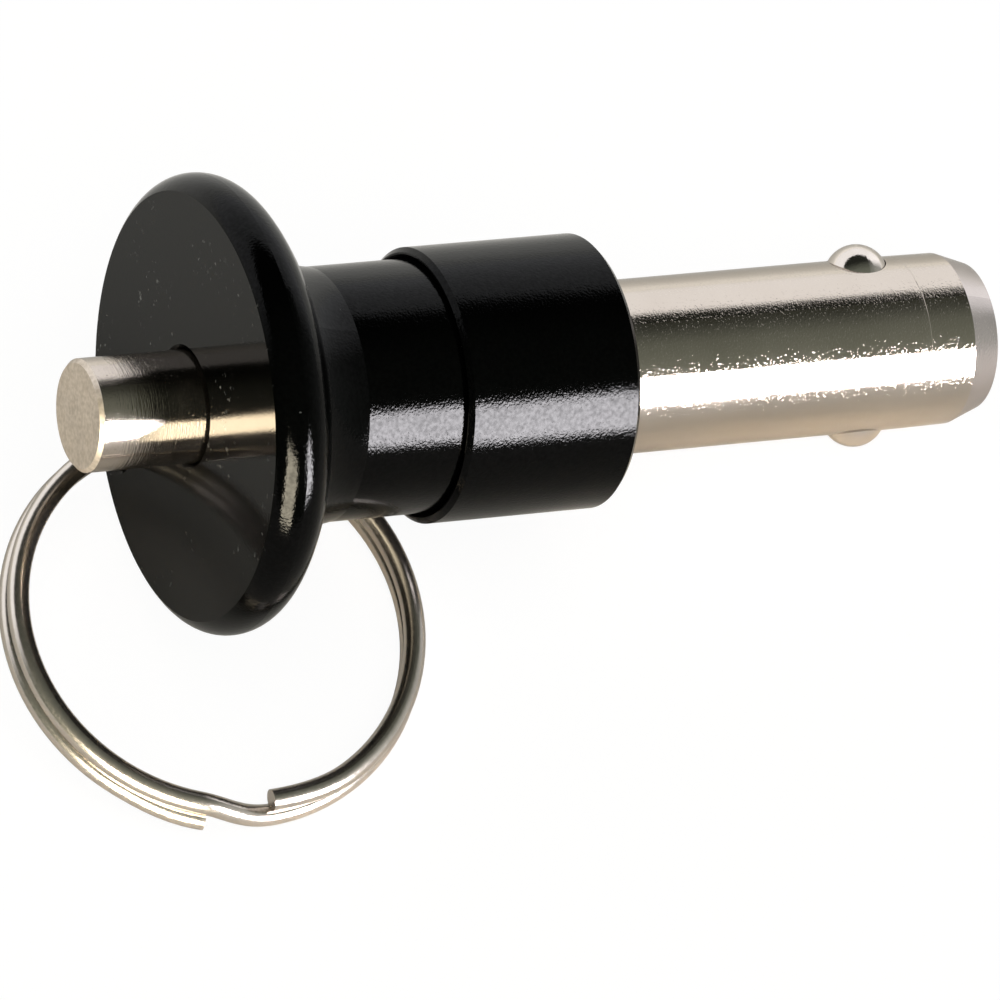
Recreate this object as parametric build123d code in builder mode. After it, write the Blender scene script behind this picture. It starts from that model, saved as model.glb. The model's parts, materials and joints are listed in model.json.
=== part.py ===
"""Ball lock pin with a mushroom handle, a push button and a split key ring.

Millimetres. The origin is where the pin's axis meets the shoulder that stops against the work.
The pin lies on the floor, on the rim of its handle and the edge of its nose, so its axis runs
towards +X and slopes down. Stations along the axis are measured from the shoulder: positive
towards the nose, negative towards the button.
"""

from build123d import *
from math import asin, atan2, cos, hypot, radians, sin, sqrt, tan
import os

# ---- Shank ----
shank_d = 12.7
grip_length = 20.32  # shoulder to the near side of the locking balls
nose_length = 9.0  # ball centre to the end of the shank
nose_chamfer_length = 2.3
nose_chamfer_depth = 0.9
lead_length = 4.1  # slight taper between the balls and the nose's chamfer
lead_depth = 0.05
head_d = 16.0  # flange that holds the shank inside the collar
head_thickness = 3.0
nose_bore_chamfer = 0.3

# ---- Locking balls ----
ball_d = 4.7625
ball_proud = 1.2  # how far each ball stands out of the shank when locked
ball_sunk = 0.08  # how far each ball drops below the shank's surface when released
ball_play = 0.05  # radial clearance of a ball in its hole
ball_turn = 41.5  # degrees that the two balls are turned about the axis, from the horizontal
cone_angle = 18.0  # degrees, slope of the spindle that drives the balls
cone_play = 0.01  # gap between a ball and the spindle's cone

# ---- Spindle ----
spindle_play = 0.03  # radial clearance of the spindle in the shank
groove_play = 0.12  # gap under a released ball
groove_end_play = 0.35  # groove left behind a released ball
guide_inset = 1.0  # the spindle's thick part starts this far inside the shank's head
spindle_recess = 0.6  # the spindle's tip lies this far inside the nose
stem_d = 4.0
tip_chamfer = 0.4

# ---- Push button ----
button_d = 8.2
button_length = 8.3  # stands out of the handle's face
button_edge = 0.3
button_shoulder_d = 10.6
button_shoulder_thickness = 1.4
button_play = 0.12  # radial clearance in the handle's bore
stem_engagement = 6.0

# ---- Handle ----
face_station = 31.6  # shoulder to the flat outer face
face_d = 30.9
rim_d = 33.2
rim_depth = 2.0  # face to the widest circle of the rim
rim_round = 2.6  # rounding behind the widest circle
rim_round_arc = 50.0  # degrees that the rounding turns through
flange_back_depth = 3.8  # widest circle to the back of the flange
flange_root_d = 21.8  # where the back of the flange turns into the cove
cove_end_station = 21.3
cove_end_angle = 8.0  # degrees between the cove and the neck where they meet
neck_d = 18.4
front_wall = 3.2
bore_edge = 0.25
chamber_d = 11.2

# ---- Collar ----
collar_d = 20.0
collar_length = 13.7
collar_end_wall = 3.0
collar_edge = 0.35
collar_mouth_edge = 0.3
seat_play = 0.02  # radial clearance of parts that are fixed in one another

# ---- Return spring ----
spring_wire = 0.9
spring_wire_sides = 8  # flats that stand for the round wire
spring_turns = 8
spring_play = 0.3  # radial gap to the chamber's wall
spring_seat_gap = 0.02

# ---- Split ring ----
ring_mean_d = 29.8
ring_wire_d = 1.6
ring_coil_gap = 0.05
ring_turn_offset = 0.2  # the lower turn lies this far outside the upper turn
ring_step_arc = 24.0  # degrees over which the wire steps from one turn to the other
ring_gap_arc = 18.2  # degrees between the two cut ends
ring_tip_arc = 25.0  # degrees over which each end springs away from its turn
ring_tip_spring = 0.28  # how far each end stands away, inwards or outwards
ring_step_turn = 169.5  # degrees round the ring from its hole to the step
ring_hole_d = 4.8
ring_hole_edge = 0.15
ring_hole_radius = 12.3  # pin axis to the ring's hole
ring_hole_turn = 18.8  # degrees from straight down to the ring's hole, about the axis
ring_fall_heading = -40.5  # degrees in plan, the way the lying ring slopes down
ring_hole_lag = 47.2  # degrees round the ring from its highest point to its hole
floor_play = 0.01

# ---- Sizes that follow ----
shank_r = shank_d / 2
ball_r = ball_d / 2
neck_r = neck_d / 2
rim_r = rim_d / 2
ring_r = ring_mean_d / 2
stem_r = stem_d / 2
ball_station = grip_length + sqrt(ball_r**2 - (ball_r - ball_proud) ** 2)
nose_station = ball_station + nose_length
nose_edge_station = nose_station - nose_chamfer_length
nose_edge_r = shank_r - lead_depth
ball_locked = shank_r + ball_proud - ball_r  # axis to ball centre
ball_stroke = ball_proud + ball_sunk
push_travel = ball_stroke / tan(radians(cone_angle))
land_r = ball_locked - ball_r / cos(radians(cone_angle)) - cone_play
groove_r = ball_locked - ball_stroke - ball_r - groove_play
bore_r = land_r + spindle_play
head_station = collar_end_wall + head_thickness  # rear face of the shank's head
wall_station = face_station - front_wall  # inner side of the handle's front wall
rim_station = face_station - rim_depth
shoulder_station = wall_station - button_shoulder_thickness
flange_root_station = rim_station - flange_back_depth

# The pin leans until one level floor touches the rim's rounding and the edge of the nose.
lean_run = nose_edge_station + rim_station
lean_rise = rim_r - rim_round - nose_edge_r
lean = atan2(lean_rise, lean_run) + asin(rim_round / hypot(lean_rise, lean_run))
floor_z = -nose_edge_station * sin(lean) - nose_edge_r * cos(lean)

along = Vector(cos(lean), 0, -sin(lean))  # the pin's axis, towards the nose
above = Vector(sin(lean), 0, cos(lean))  # square to the axis, upwards
side = Vector(0, 1, 0)
pin_axis = Axis((0, 0, 0), along)
profile_plane = Plane(origin=(0, 0, 0), x_dir=along, z_dir=-side)  # x is the station, y the radius

os.makedirs("parts", exist_ok=True)


def finish(part, name):
    """Label a piece and write it as its own STEP file."""
    part.label = name
    export_step(part, f"parts/{name}.step")


# ---- Handle: flange, cove and neck turned in one piece ----
ring_down = side * sin(radians(ring_hole_turn)) - above * cos(radians(ring_hole_turn))
flange_middle = (face_station + flange_root_station) / 2
ring_hole_centre = ring_down * ring_hole_radius - along * flange_middle
ring_hole_depth = face_station - cove_end_station

with BuildPart() as handle_knob:
    with BuildSketch(profile_plane):
        with BuildLine():
            face_edge = (-face_station, face_d / 2)
            crest = (-rim_station, rim_r)
            root = (-flange_root_station, flange_root_d / 2)
            neck_start = (-cove_end_station, neck_r)
            cove_heading = (-cos(radians(cove_end_angle)), sin(radians(cove_end_angle)))
            rim_front = TangentArc(crest, face_edge, tangent=(-1, 0))
            rim_back = CenterArc((-rim_station, rim_r - rim_round), rim_round, 90, -rim_round_arc)
            flange_back = TangentArc(rim_back @ 1, root, tangent=rim_back % 1)
            cove = TangentArc(neck_start, root, tangent=cove_heading)
            Polyline(face_edge, (-face_station, 0), (-head_station, 0), (-head_station, neck_r), neck_start)
        make_face()
    revolve(axis=pin_axis)
    with BuildSketch(profile_plane):
        bore = button_d / 2 + button_play
        with BuildLine():
            Polyline(
                (-face_station, 0),
                (-face_station, bore + bore_edge),
                (-face_station + bore_edge, bore),
                (-wall_station, bore),
                (-wall_station, chamber_d / 2),
                (-head_station, chamber_d / 2),
                (-head_station, 0),
                close=True,
            )
        make_face()
    revolve(axis=pin_axis, mode=Mode.SUBTRACT)
    ring_hole_plane = Plane(
        origin=ring_hole_centre - along * (face_station - flange_middle), x_dir=side, z_dir=along
    )
    with BuildSketch(ring_hole_plane):
        Circle(ring_hole_d / 2)
    extrude(amount=ring_hole_depth, mode=Mode.SUBTRACT)
    ring_hole_mouth = (
        handle_knob.edges()
        .filter_by(GeomType.CIRCLE)
        .filter_by(lambda edge: abs(edge.radius - ring_hole_d / 2) < 0.001)
        .sort_by(pin_axis)[0]
    )
    chamfer(ring_hole_mouth, length=ring_hole_edge)
finish(handle_knob.part, "handle_knob")

# ---- Collar: sleeve over the neck, with the end wall that is the pin's shoulder ----
with BuildPart() as collar:
    with BuildSketch(profile_plane):
        outer = collar_d / 2
        neck_bore = neck_r + seat_play
        head_bore = head_d / 2 + seat_play
        shank_bore = shank_r + seat_play
        with BuildLine():
            Polyline(
                (-collar_length, neck_bore + collar_mouth_edge),
                (-collar_length, outer - collar_edge),
                (-collar_length + collar_edge, outer),
                (-collar_edge, outer),
                (0, outer - collar_edge),
                (0, shank_bore),
                (-collar_end_wall, shank_bore),
                (-collar_end_wall, head_bore),
                (-head_station, head_bore),
                (-head_station, neck_bore),
                (-collar_length + collar_mouth_edge, neck_bore),
                close=True,
            )
        make_face()
    revolve(axis=pin_axis)
finish(collar.part, "collar")

# ---- Shank: hollow pin with a head, two ball holes and a chamfered nose ----
across_upper = side * cos(radians(ball_turn)) + above * sin(radians(ball_turn))
ball_directions = {"ball_upper": across_upper, "ball_lower": -across_upper}
ball_axis_point = along * ball_station

with BuildPart() as shank:
    with BuildSketch(profile_plane):
        with BuildLine():
            Polyline(
                (-head_station, bore_r),
                (-head_station, head_d / 2),
                (-collar_end_wall, head_d / 2),
                (-collar_end_wall, shank_r),
                (nose_edge_station - lead_length, shank_r),
                (nose_edge_station, nose_edge_r),
                (nose_station, shank_r - nose_chamfer_depth),
                (nose_station, bore_r + nose_bore_chamfer),
                (nose_station - nose_bore_chamfer, bore_r),
                close=True,
            )
        make_face()
    revolve(axis=pin_axis)
    for direction in ball_directions.values():
        hole_r = ball_r + ball_play
        # A straight hole up to the locked ball's centre, then a round seat that keeps the ball in.
        with BuildSketch(Plane(origin=ball_axis_point, x_dir=direction, z_dir=along)):
            with BuildLine():
                Polyline((ball_locked + hole_r, 0), (0, 0), (0, hole_r), (ball_locked, hole_r))
                CenterArc((ball_locked, 0), hole_r, 90, -90)
            make_face()
        revolve(axis=Axis(ball_axis_point, direction), mode=Mode.SUBTRACT)
finish(shank.part, "shank")

# ---- Balls, in their locked place ----
for name, direction in ball_directions.items():
    centre = ball_axis_point + direction * ball_locked
    with BuildPart() as ball:
        with BuildSketch(Plane(origin=centre, x_dir=direction, z_dir=along)):
            with BuildLine():
                Line((-ball_r, 0), (ball_r, 0))
                CenterArc((0, 0), ball_r, 0, 180)
            make_face()
        revolve(axis=Axis(centre, direction))
    finish(ball.part, name)

# ---- Spindle: stem, guide, groove, cone and land ----
cone_start = ball_station - (land_r - groove_r) / tan(radians(cone_angle))
groove_start = ball_station - push_travel - ball_r - groove_end_play
relief_start = groove_start - (land_r - groove_r)
tip_station = nose_station - spindle_recess
stem_end = shoulder_station + stem_engagement
guide_start = guide_inset - head_station

with BuildPart() as spindle:
    with BuildSketch(profile_plane):
        with BuildLine():
            Polyline(
                (-stem_end, 0),
                (-stem_end, stem_r),
                (guide_start, stem_r),
                (guide_start, land_r),
                (relief_start, land_r),
                (groove_start, groove_r),
                (cone_start, groove_r),
                (ball_station, land_r),
                (tip_station - tip_chamfer, land_r),
                (tip_station, land_r - tip_chamfer),
                (tip_station, 0),
                close=True,
            )
        make_face()
    revolve(axis=pin_axis)
finish(spindle.part, "spindle")

# ---- Push button: stands out of the face, stopped inside by its shoulder ----
button_end = face_station + button_length

with BuildPart() as push_button:
    with BuildSketch(profile_plane):
        with BuildLine():
            Polyline(
                (-button_end, 0),
                (-button_end, button_d / 2 - button_edge),
                (-button_end + button_edge, button_d / 2),
                (-wall_station, button_d / 2),
                (-wall_station, button_shoulder_d / 2),
                (-shoulder_station, button_shoulder_d / 2),
                (-shoulder_station, stem_r),
                (-stem_end, stem_r),
                (-stem_end, 0),
                close=True,
            )
        make_face()
    revolve(axis=pin_axis)
finish(push_button.part, "push_button")

# ---- Return spring: between the button's shoulder and the shank's head ----
spring_r = chamber_d / 2 - spring_play - spring_wire / 2
spring_base = -shoulder_station + spring_wire / 2 + spring_seat_gap
spring_height = shoulder_station - head_station - spring_wire - 2 * spring_seat_gap

with BuildPart() as return_spring:
    with BuildLine():
        coil = Helix(
            pitch=spring_height / spring_turns,
            height=spring_height,
            radius=spring_r,
            center=along * spring_base,
            direction=along,
        )
    with BuildSketch(Plane(origin=coil @ 0, z_dir=coil % 0)):
        RegularPolygon(spring_wire / 2, spring_wire_sides)
    sweep(path=coil, is_frenet=True)
finish(return_spring.part, "return_spring")

# ---- Split ring: two turns of round wire, lying on the floor through the handle's hole ----
coil_offset = (ring_wire_d + ring_coil_gap) / 2
lag = radians(ring_hole_lag)
heading = radians(ring_fall_heading)

# The ring slopes just enough for its lowest side to meet the floor.
drop = ring_hole_centre.Z - floor_z - floor_play - ring_wire_d / 2
reach = ring_r * (1 + cos(lag)) + ring_turn_offset / 2
slope = asin(drop / hypot(reach, coil_offset)) - atan2(coil_offset, reach)
downhill = Vector(cos(heading) * cos(slope), sin(heading) * cos(slope), -sin(slope))
level = Vector(-sin(heading), cos(heading), 0)
from_hole = downhill * cos(lag) - level * sin(lag)
ring_up = downhill.cross(level)
ring_centre = ring_hole_centre + from_hole * ring_r
ring_plane = Plane(origin=ring_centre, x_dir=-from_hole, z_dir=ring_up)


def on_turn(turn, level, spring=0.0):
    """A point of the wire's centre line, at an angle round the ring from its hole.

    The level is 1 on the upper turn and -1 on the lower turn.
    """
    radius = ring_r - level * (ring_turn_offset / 2 + spring)
    x = radius * cos(radians(turn))
    y = radius * sin(radians(turn))
    return ring_plane.from_local_coords(Vector(x, y, level * coil_offset))


def ring_heading(turn):
    """The wire's direction at an angle round the ring from its hole."""
    return ring_plane.y_dir * cos(radians(turn)) - ring_plane.x_dir * sin(radians(turn))


step_start = ring_step_turn - ring_step_arc / 2
step_end = ring_step_turn + ring_step_arc / 2
upper_end = ring_step_turn + ring_gap_arc / 2 - 360
lower_end = ring_step_turn - ring_gap_arc / 2 + 360
upper_start = upper_end + ring_tip_arc
lower_stop = lower_end - ring_tip_arc
upper_middle = (upper_start + step_start) / 2
lower_middle = (step_end + lower_stop) / 2

with BuildPart() as split_ring:
    with BuildLine():
        upper_turn = ThreePointArc(
            on_turn(upper_start, 1), on_turn(upper_middle, 1), on_turn(step_start, 1)
        )
        lower_turn = ThreePointArc(
            on_turn(step_end, -1), on_turn(lower_middle, -1), on_turn(lower_stop, -1)
        )
        upper_tip = Spline(
            on_turn(upper_end, 1, ring_tip_spring),
            upper_turn @ 0,
            tangents=(ring_heading(upper_end), upper_turn % 0),
        )
        Spline(upper_turn @ 1, lower_turn @ 0, tangents=(upper_turn % 1, lower_turn % 0))
        Spline(
            lower_turn @ 1,
            on_turn(lower_end, -1, ring_tip_spring),
            tangents=(lower_turn % 1, ring_heading(lower_end)),
        )
    with BuildSketch(Plane(origin=upper_tip @ 0, z_dir=upper_tip % 0)):
        Circle(ring_wire_d / 2)
    sweep()
finish(split_ring.part, "split_ring")
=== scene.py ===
"""Looks for the ball lock pin: finishes of its pieces, a pale floor, soft studio light and a camera.

Metres, in the row frame, whose origin is the middle of the pin's shoulder. The pin's axis runs
through it and slopes down towards +X. The finishes work in millimetres along and across that axis.
"""

import json
import math

import bpy
from mathutils import Matrix, Vector


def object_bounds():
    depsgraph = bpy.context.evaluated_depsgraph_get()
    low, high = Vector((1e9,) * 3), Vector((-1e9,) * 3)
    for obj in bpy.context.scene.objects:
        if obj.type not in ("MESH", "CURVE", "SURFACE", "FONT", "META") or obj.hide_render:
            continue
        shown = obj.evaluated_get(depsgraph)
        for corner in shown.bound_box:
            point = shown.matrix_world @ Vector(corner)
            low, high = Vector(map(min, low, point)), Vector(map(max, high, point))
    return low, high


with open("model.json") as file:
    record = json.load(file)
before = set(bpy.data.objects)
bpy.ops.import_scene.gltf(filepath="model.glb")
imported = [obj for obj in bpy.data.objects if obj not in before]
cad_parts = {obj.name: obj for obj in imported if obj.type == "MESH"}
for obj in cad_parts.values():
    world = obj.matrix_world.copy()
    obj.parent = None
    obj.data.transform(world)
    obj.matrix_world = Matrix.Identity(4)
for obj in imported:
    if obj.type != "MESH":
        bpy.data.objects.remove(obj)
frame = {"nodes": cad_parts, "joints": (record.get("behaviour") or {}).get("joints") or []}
cad_low, cad_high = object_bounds()

mm = 0.001

# ---- The pin's axis, from the joint that pushes the button along it ----
joints = {joint["name"]: joint for joint in frame["joints"]}
along = Vector(joints["button_push"]["axis"]).normalized()
slope = math.asin(-along.z)


def reach(node_name):
    """Where a node begins and ends along the pin, in millimetres from its shoulder."""
    stations = [vertex.co.dot(along) / mm for vertex in frame["nodes"][node_name].data.vertices]
    return min(stations), max(stations)


# ---- Stations along the pin, in millimetres from its shoulder towards the nose ----
nose_chamfer = 2.3
button_chamfer = 0.3
nose_edge = reach("shank")[1] - nose_chamfer
worn_band = 25.5
face_station = reach("handle_knob")[0]
button_edge = reach("push_button")[0] + button_chamfer

# ---- Camera ----
camera_place = Vector((-255.1, -361.2, 748.7)) * mm
camera_right = Vector((0.94344, -0.27905, 0.17901))
camera_up = Vector((0.16901, 0.86933, 0.46444))
camera_lens = 432.0

# ---- Light: two windows that a gloss shows, and a soft light from above for all else ----
lamps = {
    "key_window": {"towards": (0.49, -0.80, 0.287), "away": 0.8, "size": (0.26, 0.408), "watts": 25.0,
                   "color": (0.99, 0.96, 1.0), "in_gloss": True},
    "warm_window": {"towards": (-0.45, -0.80, 0.28), "away": 0.8, "size": (0.52, 0.46), "watts": 37.0,
                    "color": (1.0, 0.9, 0.69), "in_gloss": True},
    "soft_light": {"towards": (0.0, -0.2, 1.0), "away": 1.0, "size": (1.2, 1.2), "watts": 8.0,
                   "color": (1.0, 1.0, 1.0), "in_gloss": False},
}

# ---- The room round the table: dim beside and in front of it, with a pale wall behind ----
room_dark = 0.028
room_light = 0.2
room_front = 0.09
room_color = (0.91, 1.0, 0.83)
wall_level = 1.5
wall_right = 0.4
wall_color = (0.96, 0.97, 1.0)

# ---- The floor: its colour, and how far it is lifted to white, for the camera and in a gloss, where a painted glow rises towards the wall ----
floor_z = cad_low.z
floor_radius = 1.4
floor_sides = 96
floor_color = (0.78, 0.755, 0.715)
camera_glow = 0.94
camera_cut = 0.88
# painted light: in a gloss the floor glows from nothing in front of the pin up to this level a little
# behind it, standing in for the wall's light on the floor
gloss_glow = 0.8
gloss_glow_run = 0.09


def rgb(red, green, blue):
    """A linear colour with full alpha."""
    return (red, green, blue, 1.0)


def color_socket(sockets, name):
    """The colour socket of a Mix node, which has one of the same name for each kind of value."""
    return next(socket for socket in sockets if socket.name == name and socket.type == "RGBA")


# ---- Node helpers ----
class Shader:
    """The node tree of a material or a world, with short calls for the nodes that they share."""

    def __init__(self, owner, output_kind="ShaderNodeOutputMaterial"):
        owner.use_nodes = True
        self.owner = owner
        self.nodes = owner.node_tree.nodes
        self.links = owner.node_tree.links
        self.nodes.clear()
        self.output = self.nodes.new(output_kind)

    def put(self, socket, value):
        """Link a socket to another, or set its value."""
        if isinstance(value, bpy.types.NodeSocket):
            self.links.new(value, socket)
        else:
            socket.default_value = value

    def add(self, kind, settings=None, **inputs):
        """Add a node. Underscores in input names stand for spaces. A value can be a socket."""
        node = self.nodes.new(kind)
        for name, value in (settings or {}).items():
            setattr(node, name, value)
        for name, value in inputs.items():
            self.put(node.inputs[name.replace("_", " ")], value)
        return node

    def math(self, operation, *values):
        """A math node's result."""
        node = self.add("ShaderNodeMath", {"operation": operation})
        for socket, value in zip(node.inputs, values):
            self.put(socket, value)
        return node.outputs["Value"]

    def coordinates(self, kind):
        """Texture coordinates of one kind."""
        return self.add("ShaderNodeTexCoord").outputs[kind]

    def parts(self, vector):
        """A vector's X, Y and Z."""
        return self.add("ShaderNodeSeparateXYZ", Vector=vector).outputs

    def scale(self, vector, factors):
        """A vector times three factors."""
        node = self.add("ShaderNodeVectorMath", {"operation": "MULTIPLY"})
        for socket, value in zip(node.inputs, (vector, factors)):
            self.put(socket, value)
        return node.outputs["Vector"]

    def ramp(self, value, low, high, to_low=0.0, to_high=1.0):
        """A value's range from low to high, stretched to another and clamped."""
        node = self.add(
            "ShaderNodeMapRange",
            {"clamp": True},
            Value=value,
            From_Min=low,
            From_Max=high,
            To_Min=to_low,
            To_Max=to_high,
        )
        return node.outputs["Result"]

    def band(self, value, middle, half_width):
        """1 at the middle of a narrow band, 0 outside it."""
        away = self.math("ABSOLUTE", self.math("SUBTRACT", value, middle))
        return self.ramp(away, half_width, 0.0)

    def noise(self, place, per_mm, detail=3.0, seed=0.0):
        """Noise from 0 to 1, with so many waves to a millimetre."""
        node = self.add(
            "ShaderNodeTexNoise",
            {"noise_dimensions": "4D"},
            Vector=place,
            Scale=per_mm,
            Detail=detail,
            Roughness=0.55,
            W=seed,
        )
        return node.outputs["Fac"]

    def mix_color(self, factor, a, b):
        """Two colours mixed."""
        node = self.add("ShaderNodeMix", {"data_type": "RGBA"}, Factor=factor)
        self.put(color_socket(node.inputs, "A"), a)
        self.put(color_socket(node.inputs, "B"), b)
        return color_socket(node.outputs, "Result")

    def mix_number(self, factor, a, b):
        """Two plain numbers mixed."""
        return self.math("MULTIPLY_ADD", factor, b - a, a)

    def bump(self, height, depth, normal=None):
        """A bump of a height field from 0 to 1, its depth in millimetres, over another."""
        node = self.add("ShaderNodeBump", Strength=1.0, Distance=depth * mm, Height=height)
        if normal is not None:
            self.put(node.inputs["Normal"], normal)
        return node.outputs["Normal"]

    def finish(self, surface):
        """Link a surface to the output."""
        self.put(self.output.inputs["Surface"], surface)
        return self.owner

    def principled(self, **inputs):
        """Finish with a principled surface."""
        return self.finish(self.add("ShaderNodeBsdfPrincipled", **inputs).outputs["BSDF"])

    def finish_sum(self, *surfaces):
        """Finish with the sum of two surfaces."""
        both = self.add("ShaderNodeAddShader")
        for socket, surface in zip(both.inputs, surfaces):
            self.put(socket, surface)
        return self.finish(both.outputs["Shader"])


# ---- What the finishes share ----
edge_tint = rgb(0.72, 0.72, 0.72)
sharp_edge = 0.03


def pin_finish(name):
    """A new material's shader, with coordinates in millimetres whose X runs along the pin."""
    shader = Shader(bpy.data.materials.new(name))
    turned_back = shader.add(
        "ShaderNodeVectorRotate",
        {"rotation_type": "AXIS_ANGLE"},
        Vector=shader.coordinates("Object"),
        Center=(0, 0, 0),
        Axis=(0, 1, 0),
        Angle=-slope,
    )
    place = shader.scale(turned_back.outputs["Vector"], (1 / mm, 1 / mm, 1 / mm))
    return shader, place


def clouds(shader, place, per_mm):
    """The slow changes of tone and gloss over a surface."""
    return shader.noise(place, per_mm, seed=4.0)


def turned(shader, place, ring_depth, grain_depth, pit_depth, pit_share):
    """The surface of turned metal: rings round the axis, a fine grain, and small pits."""
    rings = shader.noise(shader.scale(place, (11.0, 0.4, 0.4)), 1.0, detail=2.0)
    grain = shader.noise(place, 7.0, detail=1.0, seed=2.0)
    pits = shader.noise(place, 6.0, detail=1.0, seed=7.0)
    pits = shader.ramp(pits, 0.7 - pit_share, 0.78 - pit_share)
    normal = shader.bump(rings, ring_depth)
    normal = shader.bump(grain, grain_depth, normal)
    return shader.bump(pits, pit_depth, normal)


def metal(shader, color, roughness, normal):
    """Bare metal, a little darker where it is seen at a flat angle."""
    return shader.principled(
        Base_Color=color,
        Metallic=1.0,
        Roughness=roughness,
        Normal=normal,
        Specular_Tint=edge_tint,
    )


# ---- Finishes ----
def polished_stainless():
    """The shank: ground and polished, with a matt chamfer at the nose and a worn band behind it."""
    shader, place = pin_finish("polished_stainless")
    station = shader.parts(place)["X"]
    chamfer = shader.ramp(station, nose_edge - sharp_edge, nose_edge + sharp_edge)
    worn = shader.ramp(station, worn_band, nose_edge)
    line = shader.band(station, worn_band, half_width=0.035)
    patches = clouds(shader, place, 0.22)
    normal = turned(shader, place, ring_depth=0.0012, grain_depth=0.0075, pit_depth=0.0042, pit_share=0.085)
    normal = shader.bump(worn, 0.06, normal)
    normal = shader.bump(line, 0.012, normal)
    color = shader.mix_color(patches, rgb(0.465, 0.41, 0.355), rgb(0.535, 0.48, 0.425))
    color = shader.mix_color(chamfer, color, rgb(0.47, 0.425, 0.405))
    roughness = shader.ramp(patches, 0.35, 0.65, 0.06, 0.11)
    roughness = shader.math("MULTIPLY_ADD", chamfer, 0.16, roughness)
    return metal(shader, color, roughness, normal)


def satin_stainless():
    """The button: turned, with a matt end."""
    shader, place = pin_finish("satin_stainless")
    station = shader.parts(place)["X"]
    end = shader.ramp(station, button_edge + 0.02, button_edge - 0.04)
    patches = clouds(shader, place, 0.5)
    specks = shader.ramp(shader.noise(place, 3.2, detail=2.0, seed=6.0), 0.35, 0.65)
    normal = turned(shader, place, ring_depth=0.009, grain_depth=0.006, pit_depth=0.0045, pit_share=0.04)
    color = shader.mix_color(patches, rgb(0.43, 0.375, 0.325), rgb(0.53, 0.475, 0.42))
    matt_color = shader.mix_color(specks, rgb(0.46, 0.4, 0.335), rgb(0.6, 0.53, 0.46))
    color = shader.mix_color(end, color, matt_color)
    roughness = shader.ramp(patches, 0.3, 0.7, 0.12, 0.19)
    roughness = shader.math("MULTIPLY_ADD", end, 0.25, roughness)
    return metal(shader, color, roughness, normal)


def ball_steel():
    """The locking balls: polished, with a little wear."""
    shader, place = pin_finish("ball_steel")
    patches = clouds(shader, place, 0.9)
    wear = shader.noise(place, 1.6)
    color = shader.mix_color(patches, rgb(0.52, 0.47, 0.42), rgb(0.62, 0.57, 0.53))
    roughness = shader.ramp(patches, 0.3, 0.7, 0.07, 0.14)
    return metal(shader, color, roughness, shader.bump(wear, 0.022))


def nickel_plate():
    """The split ring: tumbled spring wire under nickel plate."""
    shader, place = pin_finish("nickel_plate")
    patches = clouds(shader, place, 0.6)
    grain = shader.noise(place, 5.0, detail=2.0, seed=1.0)
    color = shader.mix_color(patches, rgb(0.5, 0.45, 0.4), rgb(0.62, 0.57, 0.52))
    roughness = shader.ramp(grain, 0.3, 0.7, 0.18, 0.27)
    return metal(shader, color, roughness, shader.bump(grain, 0.004))


def plain_steel(name, level):
    """Steel that mostly lies inside: turned or drawn, and dull."""
    shader, place = pin_finish(name)
    patches = clouds(shader, place, 0.6)
    normal = turned(shader, place, ring_depth=0.003, grain_depth=0.002, pit_depth=0.005, pit_share=0.03)
    dark = rgb(level, level * 0.97, level * 0.94)
    light = rgb(level * 1.12, level * 1.09, level * 1.06)
    color = shader.mix_color(patches, dark, light)
    return shader.principled(Base_Color=color, Metallic=1.0, Roughness=0.28, Normal=normal)


def black_anodise():
    """Black anodised aluminium: a fine grain in a glossy skin, smoother on the face, and a little dust."""
    shader, place = pin_finish("black_anodise")
    station = shader.parts(place)["X"]
    face = shader.ramp(station, face_station + 0.12, face_station + 0.02)
    grain = shader.noise(place, 5.5, detail=1.5)
    rings = shader.noise(shader.scale(place, (5.0, 0.3, 0.3)), 1.0, seed=3.0)
    grain_height = shader.math("MULTIPLY", grain, shader.mix_number(face, 1.0, 0.2))
    normal = shader.bump(grain_height, 0.015)
    normal = shader.bump(rings, 0.0015, normal)
    roughness = shader.ramp(grain, 0.3, 0.7, 0.07, 0.1)
    specks = shader.ramp(shader.noise(place, 2.2, detail=2.0, seed=9.0), 0.64, 0.74)
    swarms = shader.ramp(shader.noise(place, 0.16, detail=1.0, seed=5.0), 0.46, 0.6)
    strays = shader.ramp(shader.noise(place, 1.3, detail=1.0, seed=12.0), 0.8, 0.83)
    dust = shader.math("MULTIPLY", specks, shader.math("MULTIPLY", swarms, face))
    dust = shader.math("MAXIMUM", dust, strays)
    color = shader.mix_color(dust, rgb(0.0004, 0.0004, 0.0004), rgb(0.15, 0.15, 0.14))
    mottle = shader.ramp(shader.noise(place, 3.4, detail=2.0, seed=8.0), 0.36, 0.64)
    gloss = shader.mix_color(mottle, rgb(0.6, 0.6, 0.6), rgb(1, 1, 1))
    gloss = shader.mix_color(face, gloss, rgb(0.64, 0.65, 0.56))
    return shader.principled(
        Base_Color=color,
        Roughness=roughness,
        Normal=normal,
        IOR=1.18,
        Specular_Tint=gloss,
    )


finishes = {
    "handle_knob": black_anodise(),
    "shank": polished_stainless(),
    "push_button": satin_stainless(),
    "spindle": plain_steel("ground_steel", 0.42),
    "return_spring": plain_steel("spring_wire", 0.3),
    "ball_upper": ball_steel(),
    "split_ring": nickel_plate(),
}
finishes["collar"] = finishes["handle_knob"]
finishes["ball_lower"] = finishes["ball_upper"]

for node_name, piece in frame["nodes"].items():
    for material_slot in piece.material_slots:
        material_slot.material = finishes[node_name]


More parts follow.
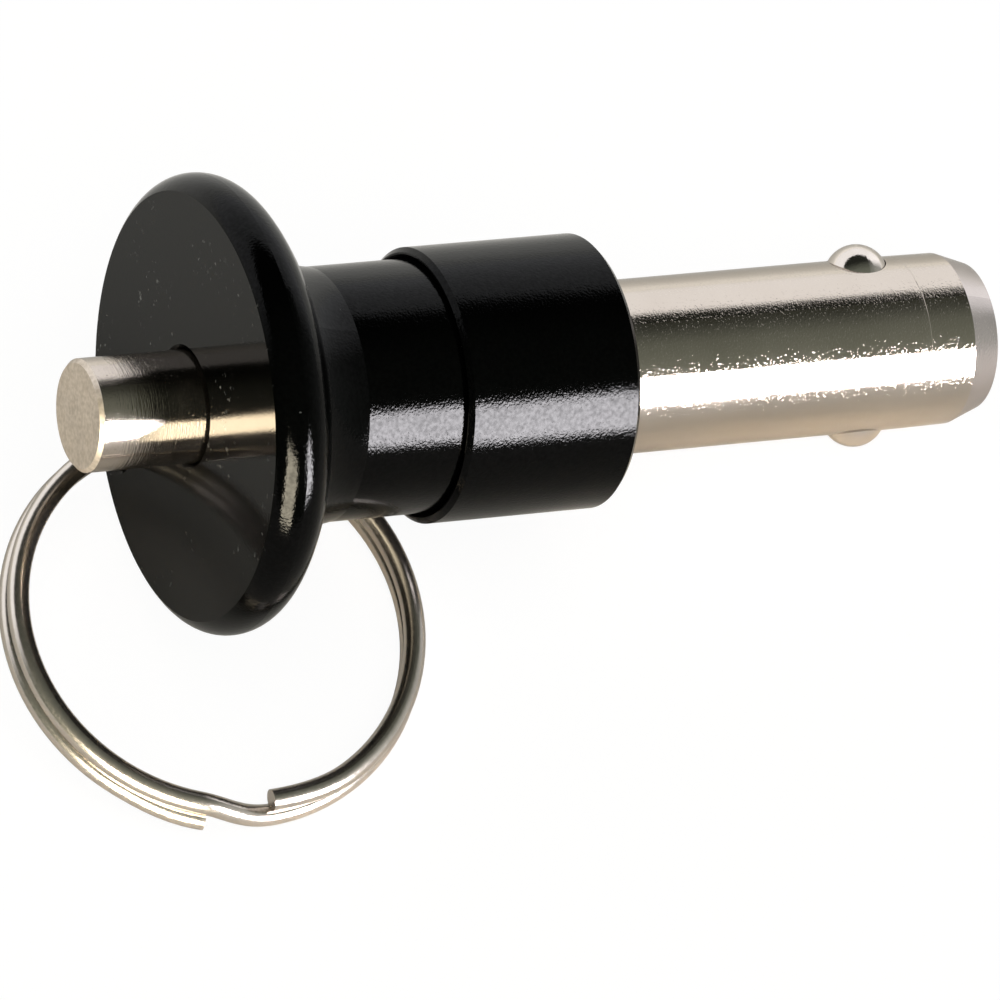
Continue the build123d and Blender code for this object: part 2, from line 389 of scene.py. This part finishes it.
# ---- Floor ----
def pale_floor():
    """A pale floor, seen lifted to white less its shadow, and in a gloss with a painted glow that rises
    towards the wall, in place of light that the wall throws on it.
    """
    shader = Shader(bpy.data.materials.new("pale_floor"))
    path = shader.add("ShaderNodeLightPath").outputs
    to_camera = path["Is Camera Ray"]
    mirrored = shader.math("MAXIMUM", path["Is Glossy Ray"], path["Is Transmission Ray"])
    towards_wall = shader.parts(shader.coordinates("Object"))["Y"]
    # painted light: a glow seen only in a gloss, none in front of the pin and rising to gloss_glow towards
    # the wall, in place of the wall's light on the floor
    painted_wall_glow = shader.ramp(towards_wall, 0.0, gloss_glow_run, 0.0, gloss_glow)
    glow = shader.math("MULTIPLY_ADD", mirrored, painted_wall_glow, shader.math("MULTIPLY", to_camera, camera_glow))
    unlifted = shader.math("MULTIPLY_ADD", to_camera, -camera_cut, 1.0)
    color = shader.mix_color(unlifted, rgb(0, 0, 0), rgb(*floor_color))
    lit = shader.add("ShaderNodeBsdfDiffuse", Color=color, Roughness=1.0)
    glowing = shader.add("ShaderNodeEmission", Color=rgb(1, 1, 1), Strength=glow)
    return shader.finish_sum(lit.outputs["BSDF"], glowing.outputs["Emission"])


bpy.ops.mesh.primitive_circle_add(
    vertices=floor_sides, radius=floor_radius, fill_type="NGON", location=(0, 0, floor_z)
)
floor = bpy.context.object
floor.name = "floor"
floor.data.materials.append(pale_floor())


# ---- Lamps ----
def softbox(name, towards, away, size, watts, color, in_gloss):
    """A rectangular lamp that faces the pin, and lights either its glosses or all else."""
    lamp = bpy.data.lights.new(name, "AREA")
    lamp.shape = "RECTANGLE"
    lamp.size, lamp.size_y = size
    lamp.energy = watts
    lamp.color = color
    piece = bpy.data.objects.new(name, lamp)
    bpy.context.scene.collection.objects.link(piece)
    aim = Vector(towards).normalized()
    piece.location = aim * away
    piece.rotation_mode = "QUATERNION"
    piece.rotation_quaternion = aim.to_track_quat("Z", "Y")
    piece.visible_glossy = in_gloss
    piece.visible_diffuse = not in_gloss
    piece.visible_camera = False


for lamp_name, lamp_values in lamps.items():
    softbox(lamp_name, **lamp_values)


# ---- Room ----
def room():
    """A world that shines as the room does, by its direction from the pin."""
    shader = Shader(bpy.data.worlds.new("room"), "ShaderNodeOutputWorld")
    direction = shader.parts(shader.coordinates("Generated"))
    side_light = shader.ramp(direction["Y"], 0.42, -0.08, room_dark, room_light)
    front_light = shader.ramp(direction["Y"], -0.1, -0.6, 0.0, room_front)
    dim = shader.math("ADD", side_light, front_light)
    wall_width = shader.ramp(direction["Y"], 0.1, 0.45)
    wall_height = shader.ramp(direction["Z"], 0.61, 0.55, 0.0, wall_level)
    wall = shader.math("MULTIPLY", wall_width, wall_height)
    wall = shader.math("ADD", wall, shader.ramp(direction["X"], 0.6, 1.0, 0.0, wall_right))
    dim_room = shader.add("ShaderNodeBackground", Color=rgb(*room_color), Strength=dim)
    pale_wall = shader.add("ShaderNodeBackground", Color=rgb(*wall_color), Strength=wall)
    return shader.finish_sum(dim_room.outputs["Background"], pale_wall.outputs["Background"])


bpy.context.scene.world = room()

# ---- Camera ----
lens = bpy.data.cameras.new("camera")
lens.lens = camera_lens
lens.clip_start = 0.05
lens.clip_end = 10.0
camera = bpy.data.objects.new("camera", lens)
bpy.context.scene.collection.objects.link(camera)
camera_axes = Matrix((camera_right, camera_up, camera_right.cross(camera_up))).transposed()
camera.matrix_world = Matrix.Translation(camera_place) @ camera_axes.to_4x4()
bpy.context.scene.camera = camera

# ---- View ----
bpy.context.scene.view_settings.view_transform = "Standard"
